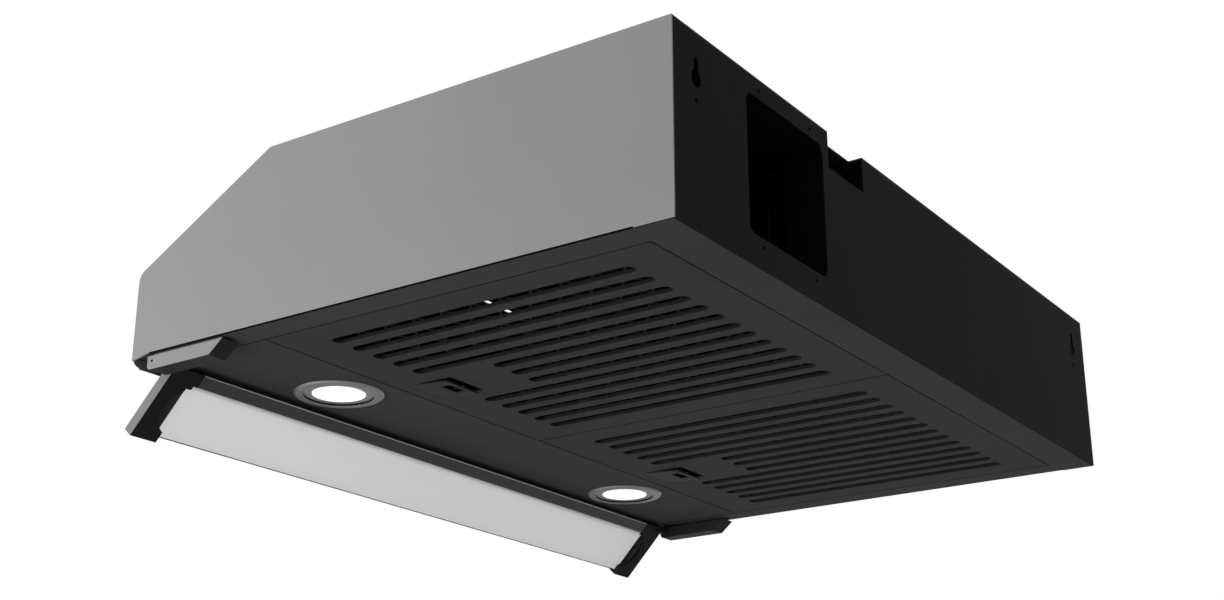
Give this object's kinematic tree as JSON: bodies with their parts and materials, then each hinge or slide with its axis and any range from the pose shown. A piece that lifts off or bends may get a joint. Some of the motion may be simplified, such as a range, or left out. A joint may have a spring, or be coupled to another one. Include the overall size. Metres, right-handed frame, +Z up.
{
  "type": "built-in range hood",
  "caption": "Built-in range hood with slotted grease filters, two lamps, a fold-down glass visor and a centrifugal blower exhausting at the rear",
  "frame": {"origin": "on the rear face that lies against the wall, midway between the seats of the two hanging keyholes", "axes": "+X to the right seen from the front, +Y out of the rear face towards the wall, +Z up"},
  "size_m": [0.6, 0.4239, 0.1607],
  "materials": {
    "steel_black": "satin black powder coat",
    "steel_grey": "satin grey powder coat",
    "filter_black": "satin black powder coat",
    "mesh_aluminium": "expanded sheet, satin",
    "zinc_steel": "zinc plated, satin",
    "lamp_metal": "satin turned metal",
    "lamp_white": "translucent white diffuser",
    "lamp_alloy": "die cast, dark",
    "plastic_grey": "fine grained",
    "plastic_black": "fine grained",
    "rail_dark": "dark anodised",
    "visor_glass": "frosted",
    "blower_plastic": "moulded",
    "impeller_steel": "zinc-plated sheet",
    "hub_alloy": "die cast",
    "motor_steel": "pressed steel",
    "bronze": "sintered bronze",
    "rubber_black": "soft, matt",
    "bezel_black": "semi gloss",
    "board_green": "circuit board laminate",
    "button_grey": "fine grained",
    "cap_white": "smooth can",
    "terminal_ivory": "moulded",
    "wire_white": "sheathed lead"
  },
  "bodies": {
    "hood": {"canopy_shell": "steel_black", "left_end_panel": "steel_grey", "right_end_panel": "steel_grey", "back_panel": "steel_black", "underside_frame": "steel_black", "light_panel": "steel_black", "left_lamp_ring": "lamp_metal", "right_lamp_ring": "lamp_metal", "left_lamp_lens": "lamp_white", "right_lamp_lens": "lamp_white", "left_lamp_body": "lamp_alloy", "right_lamp_body": "lamp_alloy", "left_cheek": "plastic_grey", "right_cheek": "plastic_grey", "visor_pins": "zinc_steel", "cheek_screws": "zinc_steel", "blower_housing": "blower_plastic", "blower_cover": "blower_plastic", "inlet_guard": "blower_plastic", "motor_can": "motor_steel", "motor_bearings": "bronze", "motor_grommets": "rubber_black", "motor_nuts": "zinc_steel", "blower_screws": "zinc_steel", "control_bezel": "bezel_black", "control_board": "board_green", "power_box": "plastic_black", "power_box_lid": "plastic_black", "capacitor": "cap_white", "terminal_block": "terminal_ivory", "cable_gland": "plastic_black", "lamp_leads": "wire_white", "motor_lead": "wire_white", "control_lead": "wire_white"},
    "visor": {"visor_rail": "rail_dark", "visor_glass": "visor_glass", "left_visor_arm": "plastic_black", "right_visor_arm": "plastic_black"},
    "left_filter": {"left_filter_face": "filter_black", "left_filter_mesh": "mesh_aluminium", "left_latch_guide": "zinc_steel", "left_latch_spring": "zinc_steel"},
    "right_filter": {"right_filter_face": "filter_black", "right_filter_mesh": "mesh_aluminium", "right_latch_guide": "zinc_steel", "right_latch_spring": "zinc_steel"},
    "left_latch": {"left_filter_latch": "plastic_black"},
    "right_latch": {"right_filter_latch": "plastic_black"},
    "rotor": {"impeller": "impeller_steel", "impeller_hub": "hub_alloy", "impeller_blades": "impeller_steel", "impeller_ring": "impeller_steel", "motor_shaft": "zinc_steel", "impeller_nut": "bronze"},
    "light_button": {"button_light": "button_grey"},
    "off_button": {"button_off": "button_grey"},
    "low_button": {"button_low": "button_grey"},
    "medium_button": {"button_medium": "button_grey"},
    "high_button": {"button_high": "button_grey"}
  },
  "joints": [
    {"name": "visor_hinge", "type": "hinge", "parent": "hood", "child": "visor", "pos_m": [0, -0.383, -0.1033], "axis": [1, 0, 0], "range_deg": [0, 134]},
    {"name": "impeller_spin", "type": "hinge", "parent": "hood", "child": "rotor", "pos_m": [0.097, -0.097, -0.0383], "axis": [0, 0, 1], "continuous": true},
    {"name": "left_filter_swing", "type": "hinge", "parent": "hood", "child": "left_filter", "pos_m": [-0.13935, -0.0278, -0.0983], "axis": [1, 0, 0], "range_deg": [0, 60]},
    {"name": "left_latch_slide", "type": "slide", "parent": "left_filter", "child": "left_latch", "axis": [0, 1, 0], "range_m": [0, 0.006], "stiffness_N_per_m": 300, "springref_m": -0.005, "deforming": ["left_latch_spring"]},
    {"name": "right_filter_swing", "type": "hinge", "parent": "hood", "child": "right_filter", "pos_m": [0.13935, -0.0278, -0.0983], "axis": [1, 0, 0], "range_deg": [0, 60]},
    {"name": "right_latch_slide", "type": "slide", "parent": "right_filter", "child": "right_latch", "axis": [0, 1, 0], "range_m": [0, 0.006], "stiffness_N_per_m": 300, "springref_m": -0.005, "deforming": ["right_latch_spring"]},
    {"name": "light_button_press", "type": "slide", "parent": "hood", "child": "light_button", "axis": [0, 0.4884, -0.8726], "range_m": [0, 0.002], "stiffness_N_per_m": 400, "springref_m": -0.001},
    {"name": "off_button_press", "type": "slide", "parent": "hood", "child": "off_button", "axis": [0, 0.4884, -0.8726], "range_m": [0, 0.002], "stiffness_N_per_m": 400, "springref_m": -0.001},
    {"name": "low_button_press", "type": "slide", "parent": "hood", "child": "low_button", "axis": [0, 0.4884, -0.8726], "range_m": [0, 0.002], "stiffness_N_per_m": 400, "springref_m": -0.001},
    {"name": "medium_button_press", "type": "slide", "parent": "hood", "child": "medium_button", "axis": [0, 0.4884, -0.8726], "range_m": [0, 0.002], "stiffness_N_per_m": 400, "springref_m": -0.001},
    {"name": "high_button_press", "type": "slide", "parent": "hood", "child": "high_button", "axis": [0, 0.4884, -0.8726], "range_m": [0, 0.002], "stiffness_N_per_m": 400, "springref_m": -0.001}
  ]
}
